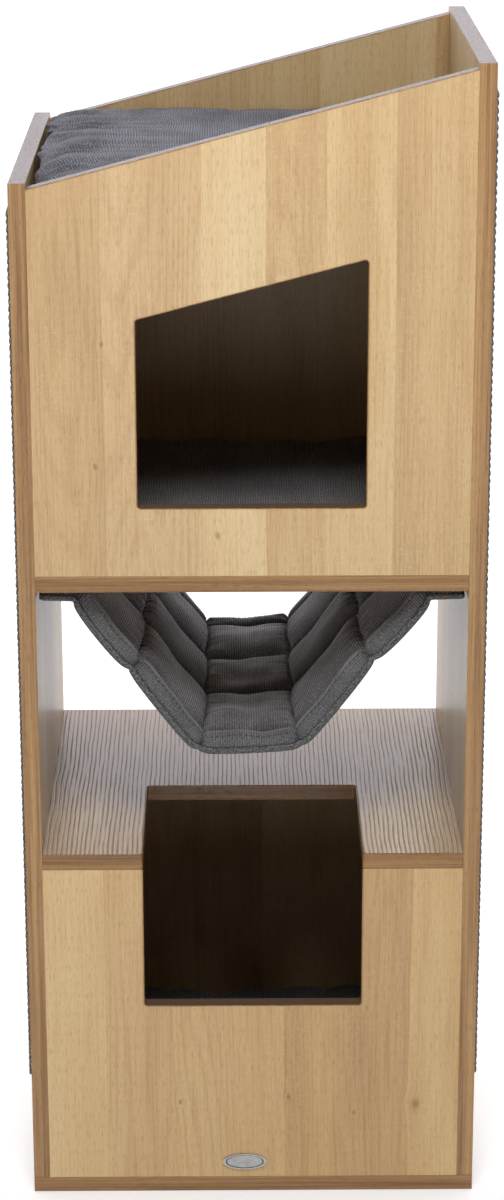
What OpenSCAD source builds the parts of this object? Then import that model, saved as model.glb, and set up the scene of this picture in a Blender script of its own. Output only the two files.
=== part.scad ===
// Cat tower of edge-banded boards: a lower cave, an open bay with a quilted hammock,
// an upper cave and a cushioned bed under a sloping top. Millimetres, +Z up, front at -Y.
// The origin is on the floor, under the middle of the base.

/* [Carcass] */
// Width across the two side panels
body_w = 412; // [345:1:500]
// Depth of the base and the side panels
body_d = 380; // [315:1:460]
// Height of the left side panel
left_h = 956; // [946:1:1040]
// Height of the right side panel
right_h = 1056; // [960:1:1270]
// Thickness of every board
board_t = 15; // [15:0.5:18]
// Thickness of the edge banding
band_t = 1; // [0.4:0.1:2]
// Radius of the corners of the doorways and the notch
corner_r = 3; // [2.5:0.5:10]

/* [Levels] */
// Height of the top face of the middle shelf
shelf_z = 343; // [300:1:390]
// Height of the top face of the upper cave's floor
floor_z = 608; // [560:1:660]
// Height of the top face of the bed platform
bed_z = 912; // [880:1:925]
// How far the sloping panels stop below the side panels' tops
panel_drop = 5; // [0:1:15]

/* [Doorways] */
// Width of both doorways
door_w = 200; // [150:1:240]
// Height of the upper doorway's sill above its floor
upper_sill = 62; // [45:1:90]
// Height of board between the upper doorway and the sloping edge above it
lintel = 137; // [125:1:165]
// Height of the lower doorway's sill above the base
lower_sill = 177; // [130:1:210]
// Depth of the notch in the middle shelf, from its front edge
notch_d = 168; // [100:1:220]

/* [Scratching mats] */
// Thickness of the woven mats
mat_t = 3.5; // [2:0.5:8]
// Distance from the mats to the panels' front and back edges
mat_inset = 18; // [5:1:60]
// Distance from the mats to the top of their panel
mat_top_gap = 26; // [10:1:80]
// Height of the mats' lower edge above the floor
mat_low_z = 112; // [40:1:200]

/* [Cushions] */
// Gap between a cushion and the walls round it
cushion_gap = 4; // [2:1:10]
// Height of the bed cushion
bed_cushion_h = 53; // [40:1:80]
// Height of the upper cave's cushion
upper_cushion_h = 35; // [15:1:50]
// Height of the lower cave's cushion
lower_cushion_h = 30; // [15:1:50]
// Radius of the cushions' corners, seen from above
cushion_r = 30; // [15:1:60]
// Gap left under each cushion
rest_gap = 0.3; // [0.1:0.1:1]

/* [Hammock] */
// Depth of the hammock from front to back
hammock_d = 345; // [260:1:370]
// Distance from the upper floor's underside to the hammock's lowest face
hammock_drop = 158; // [110:1:185]
// Width of the flat panel at the bottom of the hammock
hammock_flat_w = 94; // [60:1:120]
// Width of the flap that is taped to the upper floor at each side
flap_w = 32; // [28:1:45]
// Thickness of the quilted pad in the sling
pad_t = 16; // [10:1:24]
// Thickness of the pad in the taped flaps
flap_t = 8; // [5:1:12]
// Thickness of the woven underlay
underlay_t = 3; // [1:0.5:5]
// Gap between the hammock's ends and the side panels
hammock_gap = 2; // [1:0.5:6]
// Width of the hook and loop tapes
tape_w = 25; // [16:1:27]
// Thickness of each tape
tape_t = 1.2; // [0.8:0.1:2]

/* [Badge] */
// Width of the oval badge
badge_w = 41; // [25:1:70]
// Height of the oval badge
badge_h = 16; // [10:1:30]
// Thickness of the badge's plate
badge_t = 1; // [0.6:0.1:2]
// Height of the badge's middle above the floor
badge_z = 31; // [27:1:60]
// Sideways offset of the badge from the middle of the panel
badge_x = -8; // [-60:1:60]

/* [Fittings] */
// Distance from the front and back edges to the shelves' cam bolts
cam_inset = 60; // [45:1:80]
// Distance between a cam bolt and the dowel beside it
dowel_step = 32; // [20:1:34]
// Distance from a joint to the middle of its cam
cam_reach = 24; // [20:1:30]
// Radius of a cam
cam_r = 7.4; // [6:0.1:8]
// Height of a cam
cam_h = 11.5; // [10:0.1:11.8]
// Radius of a wooden dowel
dowel_r = 4; // [3:0.5:4]
// Length of a wooden dowel
dowel_l = 29; // [25:1:30]
// Clearance round a fitting in its bore
bore_play = 0.1; // [0.05:0.05:0.2]

/* [Hidden] */
$fn = 48;
inner_w = body_w - 2 * board_t;
inner_d = body_d - 2 * board_t;
front_y = -body_d / 2;
back_y = body_d / 2;
// Middles of the front and back boards' thickness
front_mid = front_y + board_t / 2;
back_mid = back_y - board_t / 2;
shelf_under = shelf_z - board_t;
floor_under = floor_z - board_t;
bed_under = bed_z - board_t;
slope = (right_h - left_h) / inner_w;
slope_cos = 1 / sqrt(1 + slope * slope);
upper_sill_z = floor_z + upper_sill;
lower_sill_z = board_t + lower_sill;
// How far a dowel or a bolt's thread goes into the face of a board
face_bore = 10;
cam_y = body_d / 2 - cam_inset;
dowel_y = cam_y - dowel_step;
// Heights of the cam bolts in the upright panels, from the panel's lower edge or top
panel_cam_low = 36;
panel_cam_high = 42;
// Sideways places of the upright panels' dowels and screws
sill_dowel_x = door_w / 2 - 40;
head_dowel_x = (inner_w + door_w) / 4;
base_screw_x = head_dowel_x;
// Heights of the fold lines of the hammock, as its underside runs from flap to flat
hammock_low_z = floor_under - hammock_drop;
flap_z = floor_under - 2 * tape_t - flap_t - underlay_t;
flap_end_x = inner_w / 2 - hammock_gap;
fold_outer_x = flap_end_x - flap_w;
fold_low_x = hammock_flat_w / 2;
// Share of the sling's width and drop that its outer panel takes
outer_share_x = 0.44;
outer_share_z = 0.45;
fold_mid_x = fold_outer_x - outer_share_x * (fold_outer_x - fold_low_x);
fold_mid_z = flap_z - outer_share_z * (flap_z - hammock_low_z);

oak = [0.82, 0.70, 0.53];
walnut = [0.60, 0.46, 0.32];
grey_cloth = [0.36, 0.36, 0.38];
tweed = [0.42, 0.41, 0.39];
sisal = [0.50, 0.47, 0.43];
steel = [0.72, 0.73, 0.74];
zinc = [0.62, 0.63, 0.64];
beech = [0.85, 0.72, 0.53];
black = [0.10, 0.10, 0.11];

function unit(v) = v / norm(v);
function turned(v) = [-v.y, v.x];

// The outline corner q, between p and s, as the points of an arc of radius r
function arc_at(p, q, s, r, steps = 4) =
    let (u = unit(p - q), v = unit(s - q))
    let (half = acos(u * v) / 2)
    let (c = q + unit(u + v) * r / sin(half))
    let (a = q + u * r / tan(half) - c, b = q + v * r / tan(half) - c)
    let (from = atan2(a.y, a.x), gap = atan2(b.y, b.x) - from)
    let (sweep = gap > 180 ? gap - 360 : gap < -180 ? gap + 360 : gap)
    [for (i = [0 : steps]) c + r * [cos(from + sweep * i / steps), sin(from + sweep * i / steps)]];

// An open path with arcs of radius r at its inner corners
function rounded_path(path, r) =
    let (last = len(path) - 1)
    [path[0], for (i = [1 : last - 1]) each arc_at(path[i - 1], path[i], path[i + 1], r), path[last]];

// A closed outline with arcs of radius r at all its corners
function rounded_loop(loop, r) =
    let (n = len(loop))
    [for (i = [0 : n - 1]) each arc_at(loop[(i + n - 1) % n], loop[i], loop[(i + 1) % n], r)];

// An open path moved to its left by a distance, or by one distance for each point
function shifted(path, by) =
    let (last = len(path) - 1)
    [for (i = [0 : last])
        let (into = unit(path[max(i, 1)] - path[max(i, 1) - 1]))
        let (out = unit(path[min(i, last - 1) + 1] - path[min(i, last - 1)]))
        path[i] + (is_list(by) ? by[i] : by) * (turned(into) + turned(out)) / (1 + into * out)];

function reversed(list) = [for (i = [len(list) - 1 : -1 : 0]) list[i]];

// The strip between a path and the same path moved to its left
function strip(path, by) = concat(path, reversed(shifted(path, by)));

function x_mirrored(points) = [for (p = points) [-p.x, p.y]];

// Height of the sloping panels' top edge at a sideways place
function slope_z(x) = left_h - panel_drop + slope * (x + inner_w / 2);

// The upper doorway's outline, widened on all sides by a distance
function upper_door(grow) =
    let (x = door_w / 2 + grow, low = upper_sill_z - grow, high = grow / slope_cos - lintel)
    rounded_loop([[-x, low], [x, low], [x, slope_z(x) + high], [-x, slope_z(-x) + high]],
        corner_r + grow);

// The lower doorway's reveal, from its top left down, across the sill and up
function lower_door(top, grow) =
    let (x = door_w / 2 + grow, low = lower_sill_z - grow)
    rounded_path([[-x, top], [-x, low], [x, low], [x, top]], corner_r + grow);

// The middle shelf's front edge, with the notch, inset by a distance
function shelf_front(inset) =
    let (x = door_w / 2 + inset, front = front_y + inset, back = front_y + notch_d + inset)
    let (out = corner_r - inset / 2, deep = corner_r + inset / 2)
    concat([[-inner_w / 2, front]],
        arc_at([-inner_w / 2, front], [-x, front], [-x, back], out),
        arc_at([-x, front], [-x, back], [x, back], deep),
        arc_at([-x, back], [x, back], [x, front], deep),
        arc_at([x, back], [x, front], [inner_w / 2, front], out),
        [[inner_w / 2, front]]);

// A drawing in X and Z, thickened along Y from one place to another
module upright(from, to) {
    translate([0, to, 0])
        rotate([90, 0, 0])
            linear_extrude(to - from)
                children();
}

// A block between two opposite corners
module block(low, high) {
    translate(low)
        cube(high - low);
}

// ---------- Fittings: bolt along +X from the joint, cam open towards +Z ----------

module cam_bolt(play = 0) {
    thread_r = 2.5;
    collar_r = 3.5;
    neck_r = 1.9;
    head_r = 3;
    neck_from = cam_reach - cam_r + 1;
    head_from = cam_reach - 1;
    head_to = head_from + 3;
    rotate([0, 90, 0])
        rotate_extrude()
            polygon([[0, -face_bore + 1 - play], [thread_r + play, -face_bore + 1 - play],
                [thread_r + play, -play], [collar_r + play, -play],
                [collar_r + play, neck_from], [neck_r + play, neck_from],
                [neck_r + play, head_from], [head_r + play, head_from],
                [head_r + play, head_to], [0, head_to]]);
}

module cam_lock() {
    slot_w = 7;
    cross_l = 9;
    cross_w = 1.4;
    cross_h = 2;
    top = board_t / 2 - 0.5;
    translate([cam_reach, 0, 0])
        difference() {
            translate([0, 0, top - cam_h])
                cylinder(r = cam_r, h = cam_h);
            block([-cam_r - 1, -slot_w / 2, -slot_w / 2], [4, slot_w / 2, slot_w / 2]);
            block([-cross_l / 2, -cross_w / 2, top - cross_h], [cross_l / 2, cross_w / 2, top + 1]);
            block([-cross_w / 2, -cross_l / 2, top - cross_h], [cross_w / 2, cross_l / 2, top + 1]);
        }
}

// What a cam and its bolt take out of the board that holds the cam
module cam_seat() {
    seat_floor = board_t / 2 - 0.5 - cam_h - bore_play;
    translate([cam_reach, 0, seat_floor])
        cylinder(r = cam_r + bore_play, h = board_t);
    translate([-1, 0, 0])
        rotate([0, 90, 0])
            cylinder(r = 3.5 + bore_play, h = cam_reach + 1);
}

// What the bolt's thread takes out of the side panel
module thread_bore() {
    translate([-face_bore, 0, 0])
        rotate([0, 90, 0])
            cylinder(r = 2.5 + bore_play, h = face_bore + 1);
}

// Upward dowel, its lower part in a board's face
module dowel() {
    chamfer = 1;
    translate([0, 0, 0.5 - face_bore])
        rotate_extrude()
            polygon([[0, 0], [dowel_r - chamfer, 0], [dowel_r, chamfer], [dowel_r, dowel_l - chamfer],
                [dowel_r - chamfer, dowel_l], [0, dowel_l]]);
}

module dowel_bore() {
    translate([0, 0, -face_bore])
        cylinder(r = dowel_r + bore_play, h = dowel_l + 1);
}

// Upward screw with its countersunk head flush with the underside of the base
module base_screw() {
    head_r = 5;
    head_h = 3;
    socket_r = 2.3;
    socket_h = 2.5;
    difference() {
        screw_shape(head_r, head_h, 0);
        cylinder(r = socket_r, h = socket_h, $fn = 6);
    }
}

module screw_shape(head_r, head_h, play) {
    sunk = 0.3;
    shank_r = 3.4;
    thread_r = 3;
    screw_l = 48;
    rotate_extrude()
        polygon([[0, play > 0 ? -1 : sunk], [head_r + play, play > 0 ? -1 : sunk],
            [head_r + play, sunk + 0.5], [shank_r + play, head_h + play],
            [shank_r + play, board_t - 1], [thread_r + play, board_t - 0.5],
            [thread_r + play, screw_l - 3], [1 + play, screw_l + play], [0, screw_l + play]]);
}

module screw_bore() {
    screw_shape(5, 3, bore_play);
}

// Puts children at a cam joint [side, y, z, turn], where turn aims the cam's open face
module at_joint(j) {
    translate([j[0] * inner_w / 2, j[1], j[2]])
        rotate([j[3], 0, 0])
            mirror([j[0] > 0 ? 1 : 0, 0, 0])
                children();
}

UP = 0;
DOWN = 180;
TO_BACK = -90;
TO_FRONT = 90;

function shelf_joints(z, turn) =
    [for (side = [-1, 1]) for (y = [-cam_y, cam_y]) [side, y, z - board_t / 2, turn]];
function panel_joints(y, low, high, turn) =
    [for (side = [-1, 1]) for (z = [low + panel_cam_low, high - panel_cam_high]) [side, y, z, turn]];

shelf_cams = shelf_joints(shelf_z, DOWN);
floor_cams = shelf_joints(floor_z, UP);
bed_cams = shelf_joints(bed_z, DOWN);
lower_front_cams = panel_joints(front_mid, board_t, shelf_under, TO_BACK);
lower_back_cams = panel_joints(back_mid, board_t, shelf_under, TO_FRONT);
upper_front_cams = panel_joints(front_mid, floor_z, bed_under, TO_BACK);
upper_back_cams = panel_joints(back_mid, floor_z, bed_under, TO_FRONT);
all_cams = concat(shelf_cams, floor_cams, bed_cams, lower_front_cams, lower_back_cams,
    upper_front_cams, upper_back_cams);

// Sideways dowels as [side, y, z], from a side panel's face into a shelf's end
shelf_dowels = [for (z = [shelf_z, floor_z, bed_z]) for (side = [-1, 1]) for (y = [-dowel_y, dowel_y])
    [side, y, z - board_t / 2]];
// Upward dowels as [x, y, z], from the face at height z into an upright panel's lower edge
sill_dowels = [for (z = [board_t, floor_z]) for (y = [front_mid, back_mid])
    for (side = [-1, 1]) [side * sill_dowel_x, y, z]];
// Downward dowels as [x, y, z], from the middle shelf's underside into the lower panels
head_dowels = [for (y = [front_mid, back_mid]) for (side = [-1, 1]) [side * head_dowel_x, y, shelf_under]];
base_screws_at = concat(
    [for (side = [-1, 1]) for (y = [-cam_y, cam_y]) [side * (body_w - board_t) / 2, y, 0]],
    [for (y = [front_mid, back_mid]) for (side = [-1, 1]) [side * base_screw_x, y, 0]]);

module at_side_dowel(d) {
    translate([d[0] * inner_w / 2, d[1], d[2]])
        rotate([0, -d[0] * 90, 0])
            children();
}

module dowel_bores() {
    for (d = shelf_dowels)
        at_side_dowel(d)
            dowel_bore();
    for (d = sill_dowels)
        translate(d)
            dowel_bore();
    for (d = head_dowels)
        translate(d)
            rotate([180, 0, 0])
                dowel_bore();
}

module screw_bores() {
    for (s = base_screws_at)
        translate(s)
            screw_bore();
}

module cam_seats(joints) {
    for (j = joints)
        at_joint(j)
            cam_seat();
}

module wooden_dowels() {
    color(beech) {
        for (d = shelf_dowels)
            at_side_dowel(d)
                dowel();
        for (d = sill_dowels)
            translate(d)
                dowel();
        for (d = head_dowels)
            translate(d)
                rotate([180, 0, 0])
                    dowel();
    }
}

module cam_bolts() {
    color(steel)
        for (j = all_cams)
            at_joint(j)
                cam_bolt();
}

module cam_locks() {
    color(zinc)
        for (j = all_cams)
            at_joint(j)
                cam_lock();
}

module base_screws() {
    color(steel)
        for (s = base_screws_at)
            translate(s)
                base_screw();
}

// ---------- Boards and their edge banding ----------

module base_panel() {
    color(oak)
        difference() {
            block([band_t - body_w / 2, front_y + band_t, 0],
                  [body_w / 2 - band_t, back_y - band_t, board_t]);
            screw_bores();
            dowel_bores();
        }
}

module base_edging() {
    color(walnut) {
        for (y = [front_y, back_y - band_t])
            block([-body_w / 2, y, 0], [body_w / 2, y + band_t, board_t]);
        for (x = [-body_w / 2, body_w / 2 - band_t])
            block([x, front_y + band_t, 0], [x + band_t, back_y - band_t, board_t]);
    }
}

// A side panel's board, at the left or right, of a given height
module side_panel(side, height) {
    joints = [for (j = all_cams) if (j[0] == side) j];
    difference() {
        translate([side * (body_w - board_t) / 2, 0, 0])
            block([-board_t / 2, front_y + band_t, board_t],
                  [board_t / 2, back_y - band_t, height - band_t]);
        for (j = joints)
            at_joint(j)
                thread_bore();
        dowel_bores();
        screw_bores();
    }
}

module side_edging(side, height) {
    translate([side * (body_w - board_t) / 2, 0, 0]) {
        block([-board_t / 2, front_y, height - band_t], [board_t / 2, back_y, height]);
        for (y = [front_y, back_y - band_t])
            block([-board_t / 2, y, board_t], [board_t / 2, y + band_t, height - band_t]);
    }
}

module left_side_panel() {
    color(oak)
        side_panel(-1, left_h);
}

module left_side_edging() {
    color(walnut)
        side_edging(-1, left_h);
}

module right_side_panel() {
    color(oak)
        side_panel(1, right_h);
}

module right_side_edging() {
    color(walnut)
        side_edging(1, right_h);
}

module lower_front_panel() {
    color(oak)
        difference() {
            upright(front_y, front_y + board_t)
                polygon(concat([[-inner_w / 2, shelf_under]], lower_door(shelf_under, band_t),
                    [[inner_w / 2, shelf_under], [inner_w / 2, board_t], [-inner_w / 2, board_t]]));
            cam_seats(lower_front_cams);
            dowel_bores();
            screw_bores();
        }
}

module lower_door_edging() {
    color(walnut)
        upright(front_y, front_y + board_t)
            polygon(concat(lower_door(shelf_under, band_t), reversed(lower_door(shelf_under, 0))));
}

module lower_back_panel() {
    color(oak)
        difference() {
            block([-inner_w / 2, back_y - board_t, board_t], [inner_w / 2, back_y, shelf_under]);
            cam_seats(lower_back_cams);
            dowel_bores();
            screw_bores();
        }
}

module middle_shelf() {
    color(oak)
        difference() {
            translate([0, 0, shelf_under])
                linear_extrude(board_t)
                    polygon(concat(shelf_front(band_t),
                        [[inner_w / 2, back_y - band_t], [-inner_w / 2, back_y - band_t]]));
            cam_seats(shelf_cams);
            dowel_bores();
        }
}

module middle_shelf_edging() {
    color(walnut) {
        translate([0, 0, shelf_under])
            linear_extrude(board_t)
                polygon(concat(shelf_front(0), reversed(shelf_front(band_t))));
        block([-inner_w / 2, back_y - band_t, shelf_under], [inner_w / 2, back_y, shelf_z]);
    }
}

module upper_floor() {
    color(oak)
        difference() {
            block([-inner_w / 2, front_y + band_t, floor_under], [inner_w / 2, back_y - band_t, floor_z]);
            cam_seats(floor_cams);
            dowel_bores();
        }
}

module upper_floor_edging() {
    color(walnut)
        for (y = [front_y, back_y - band_t])
            block([-inner_w / 2, y, floor_under], [inner_w / 2, y + band_t, floor_z]);
}

// An upper panel's outline up to its sloping edge, less the banding on that edge
module sloping_outline() {
    x = inner_w / 2;
    less = band_t / slope_cos;
    polygon([[-x, floor_z], [x, floor_z], [x, slope_z(x) - less], [-x, slope_z(-x) - less]]);
}

module sloping_edging(from) {
    x = inner_w / 2;
    less = band_t / slope_cos;
    upright(from, from + board_t)
        polygon([[-x, slope_z(-x) - less], [x, slope_z(x) - less], [x, slope_z(x)], [-x, slope_z(-x)]]);
}

module upper_front_panel() {
    color(oak)
        difference() {
            upright(front_y, front_y + board_t)
                difference() {
                    sloping_outline();
                    polygon(upper_door(band_t));
                }
            cam_seats(upper_front_cams);
            dowel_bores();
        }
}

module upper_front_edging() {
    color(walnut)
        sloping_edging(front_y);
}

module upper_door_edging() {
    color(walnut)
        upright(front_y, front_y + board_t)
            difference() {
                polygon(upper_door(band_t));
                polygon(upper_door(0));
            }
}

module upper_back_panel() {
    color(oak)
        difference() {
            upright(back_y - board_t, back_y)
                sloping_outline();
            cam_seats(upper_back_cams);
            dowel_bores();
        }
}

module upper_back_edging() {
    color(walnut)
        sloping_edging(back_y - board_t);
}

module bed_platform() {
    color(oak)
        difference() {
            block([-inner_w / 2, -inner_d / 2, bed_under], [inner_w / 2, inner_d / 2, bed_z]);
            cam_seats(bed_cams);
            dowel_bores();
        }
}

// ---------- Scratching mats, badge ----------

module scratch_mat(side, height) {
    x = side * (body_w + mat_t) / 2;
    block([x - mat_t / 2, front_y + mat_inset, mat_low_z],
        [x + mat_t / 2, back_y - mat_inset, height - mat_top_gap]);
}

module left_scratch_mat() {
    color(sisal)
        scratch_mat(-1, left_h);
}

module right_scratch_mat() {
    color(sisal)
        scratch_mat(1, right_h);
}

function oval(w, h) = [for (a = [0 : 7.5 : 359]) [w / 2 * cos(a), h / 2 * sin(a)]];

module badge() {
    rim_w = 1.5;
    rim_h = 0.4;
    color(steel)
        translate([badge_x, 0, badge_z])
            upright(front_y - badge_t, front_y)
                polygon(oval(badge_w, badge_h));
    color(steel)
        translate([badge_x, 0, badge_z])
            upright(front_y - badge_t - rim_h, front_y - badge_t)
                difference() {
                    polygon(oval(badge_w, badge_h));
                    polygon(oval(badge_w - 2 * rim_w, badge_h - 2 * rim_w));
                }
}

// ---------- Cushions ----------

// A slice of a cushion: a thin plate with round corners
module slice(w, d, r, z) {
    translate([0, 0, z])
        linear_extrude(0.5)
            polygon(rounded_loop([[-w / 2, -d / 2], [w / 2, -d / 2], [w / 2, d / 2], [-w / 2, d / 2]], r));
}

// A loose cushion that stands on the face at height z: full at mid height, drawn in above and below
module cushion(z, h) {
    w = inner_w - 2 * cushion_gap;
    d = inner_d - 2 * cushion_gap;
    bottom_in = 0.25 * h;
    top_in = 0.6 * h;
    hull() {
        slice(w - 2 * bottom_in, d - 2 * bottom_in, cushion_r - bottom_in / 2, z + rest_gap);
        slice(w, d, cushion_r, z + rest_gap + 0.45 * h);
        slice(w - top_in, d - top_in, cushion_r, z + 0.85 * h);
        slice(w - 3 * top_in, d - 3 * top_in, cushion_r, z + h - 0.5);
    }
}

module bed_cushion() {
    color(grey_cloth)
        cushion(bed_z, bed_cushion_h);
}

module upper_cave_cushion() {
    color(grey_cloth)
        cushion(floor_z, upper_cushion_h);
}

module lower_cave_cushion() {
    color(grey_cloth)
        cushion(board_t, lower_cushion_h);
}

// ---------- Hammock: pad over a woven underlay, hung from two tapes ----------

hammock_left = [[-flap_end_x, flap_z], [-fold_outer_x, flap_z], [-fold_mid_x, fold_mid_z],
    [-fold_low_x, hammock_low_z]];
// The underside from the left flap to the right one
hammock_line = concat(hammock_left, reversed(x_mirrored(hammock_left)));
pad_line = shifted(hammock_line, underlay_t);
pad_heights = [flap_t, flap_t, pad_t, pad_t, pad_t, pad_t, flap_t, flap_t];

module hammock_underlay() {
    color(tweed)
        upright(-hammock_d / 2, hammock_d / 2)
            polygon(strip(hammock_line, underlay_t));
}

module hammock_pad() {
    color(grey_cloth)
        upright(-hammock_d / 2, hammock_d / 2)
            polygon(strip(pad_line, pad_heights));
}

// A tape that lies flat under the upper floor, between two heights
module tape(side, low) {
    x = side * (flap_end_x - tape_w / 2 - 1);
    block([x - tape_w / 2, 5 - hammock_d / 2, low], [x + tape_w / 2, hammock_d / 2 - 5, low + tape_t]);
}

module left_hook_tape() {
    color(black)
        tape(-1, floor_under - tape_t);
}

module right_hook_tape() {
    color(black)
        tape(1, floor_under - tape_t);
}

module left_loop_tape() {
    color(black)
        tape(-1, floor_under - 2 * tape_t);
}

module right_loop_tape() {
    color(black)
        tape(1, floor_under - 2 * tape_t);
}

base_panel();
base_edging();
left_side_panel();
left_side_edging();
right_side_panel();
right_side_edging();
lower_front_panel();
lower_door_edging();
lower_back_panel();
middle_shelf();
middle_shelf_edging();
upper_floor();
upper_floor_edging();
upper_front_panel();
upper_front_edging();
upper_door_edging();
upper_back_panel();
upper_back_edging();
bed_platform();
left_scratch_mat();
right_scratch_mat();
left_hook_tape();
right_hook_tape();
badge();
cam_bolts();
cam_locks();
wooden_dowels();
base_screws();
bed_cushion();
upper_cave_cushion();
lower_cave_cushion();
hammock_pad();
hammock_underlay();
left_loop_tape();
right_loop_tape();
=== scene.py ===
import math

import bmesh
import bpy
import numpy as np
from mathutils import Matrix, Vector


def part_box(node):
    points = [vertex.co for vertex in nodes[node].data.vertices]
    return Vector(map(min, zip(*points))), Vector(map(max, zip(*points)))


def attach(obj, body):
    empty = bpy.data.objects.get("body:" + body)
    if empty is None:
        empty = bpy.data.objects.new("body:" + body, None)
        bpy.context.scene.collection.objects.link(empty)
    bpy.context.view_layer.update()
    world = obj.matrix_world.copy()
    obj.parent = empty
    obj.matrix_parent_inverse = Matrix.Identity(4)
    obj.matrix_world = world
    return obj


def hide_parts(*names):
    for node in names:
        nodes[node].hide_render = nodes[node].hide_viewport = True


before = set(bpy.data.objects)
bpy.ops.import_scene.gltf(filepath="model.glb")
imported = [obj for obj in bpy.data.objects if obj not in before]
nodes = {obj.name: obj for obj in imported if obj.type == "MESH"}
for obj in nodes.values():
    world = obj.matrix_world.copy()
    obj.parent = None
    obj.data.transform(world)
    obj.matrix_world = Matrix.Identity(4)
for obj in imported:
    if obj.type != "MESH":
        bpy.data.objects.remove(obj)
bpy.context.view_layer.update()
mm = 0.001

# ---- The view and the light -------------------------------------------------------------------
# A long lens stands a little over the height of a person's head, two and a half metres in front of the
# tower, and looks down on it. The room is a white studio: bright overhead and behind, dimmer in front.

scene = bpy.context.scene
scene.view_settings.view_transform = "Standard"


def aimed(place, pan, tilt, roll=0.0):
    """The matrix of a camera or lamp at place: turned right by pan and down by tilt from level, facing +Y,
    then turned by roll about its own line of sight, all in radians."""
    rolled = Matrix.Rotation(math.pi / 2 - tilt, 4, "X") @ Matrix.Rotation(roll, 4, "Z")
    return Matrix.Translation(place) @ Matrix.Rotation(-pan, 4, "Z") @ rolled


lens = bpy.data.cameras.new("camera")
lens.sensor_width = 36
lens.lens = 90.32
camera = bpy.data.objects.new("camera", lens)
camera.matrix_world = aimed((-0.0171, -2.7124, 1.4148), 0.00672, 0.31757, -0.00201)
scene.collection.objects.link(camera)
scene.camera = camera


# A square softbox over the front
key = bpy.data.lights.new("key", "AREA")
key.size = 1.0
key.energy = 52
key_lamp = bpy.data.objects.new("key", key)
key_lamp.matrix_world = aimed((-0.05, -1.6, 2.9), math.radians(2), math.radians(55))
scene.collection.objects.link(key_lamp)

# Most of the light comes steeply down, so little of it reaches through the doorways
ceiling = bpy.data.lights.new("ceiling", "SUN")
ceiling.energy = 0.6
ceiling.angle = math.radians(30)
ceiling_lamp = bpy.data.objects.new("ceiling", ceiling)
ceiling_lamp.matrix_world = aimed((0, 0, 5), 0.0, math.radians(87))
scene.collection.objects.link(ceiling_lamp)

world = bpy.data.worlds.new("studio")
scene.world = world
world.use_nodes = True
sky = world.node_tree.nodes
sky_links = world.node_tree.links
direction = sky.new("ShaderNodeTexCoord")
split = sky.new("ShaderNodeSeparateXYZ")
sky_links.new(direction.outputs["Generated"], split.inputs[0])
# Brightness by the direction's Y, from the dim front of the studio to its lit back wall
front_to_back = sky.new("ShaderNodeMapRange")
front_to_back.inputs["From Min"].default_value = -0.25
front_to_back.inputs["From Max"].default_value = 0.35
front_to_back.inputs["To Min"].default_value = 0.1
front_to_back.inputs["To Max"].default_value = 1.7
sky_links.new(split.outputs["Y"], front_to_back.inputs["Value"])
# The lit wall ends some way up, and the ceiling above it is dimmer
upward = sky.new("ShaderNodeMapRange")
upward.inputs["From Min"].default_value = 0.2
upward.inputs["From Max"].default_value = 0.9
upward.inputs["To Min"].default_value = 1.3
upward.inputs["To Max"].default_value = 0.25
sky_links.new(split.outputs["Z"], upward.inputs["Value"])
level = sky.new("ShaderNodeMath")
level.operation = "MULTIPLY"
sky_links.new(front_to_back.outputs[0], level.inputs[0])
sky_links.new(upward.outputs[0], level.inputs[1])
# What is seen past the object is plain white on every side
seen = sky.new("ShaderNodeLightPath")
plain = sky.new("ShaderNodeMix")
sky_links.new(seen.outputs["Is Camera Ray"], plain.inputs[0])
sky_links.new(level.outputs[0], plain.inputs[2])
plain.inputs[3].default_value = 1.0
sky_links.new(plain.outputs[0], sky["Background"].inputs["Strength"])
cool = sky.new("ShaderNodeMix")
cool.data_type = "RGBA"
sky_links.new(seen.outputs["Is Camera Ray"], cool.inputs[0])
cool.inputs[6].default_value = (0.97, 0.97, 1.06, 1)
cool.inputs[7].default_value = (1, 1, 1, 1)
sky_links.new(cool.outputs[2], sky["Background"].inputs["Color"])


# ---- The boards -------------------------------------------------------------------------------
# Particle board, 15 mm thick, faced on both sides with a printed oak-look laminate: glued-up strips of
# light oak with fine pores and a few small knots, under a hard satin film that mirrors at low angles.

class Amount:
    """One output of a node. Python's + - * / and ** on it add the Math nodes that do the same."""

    def __init__(self, finish, socket):
        self.finish = finish
        self.socket = socket

    def __add__(self, other):
        return self.finish.maths("ADD", self, other)

    def __sub__(self, other):
        return self.finish.maths("SUBTRACT", self, other)

    def __rsub__(self, other):
        return self.finish.maths("SUBTRACT", other, self)

    def __mul__(self, other):
        return self.finish.maths("MULTIPLY", self, other)

    def __truediv__(self, other):
        return self.finish.maths("DIVIDE", self, other)

    def __pow__(self, other):
        return self.finish.maths("POWER", self, other)

    __radd__ = __add__
    __rmul__ = __mul__


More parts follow.
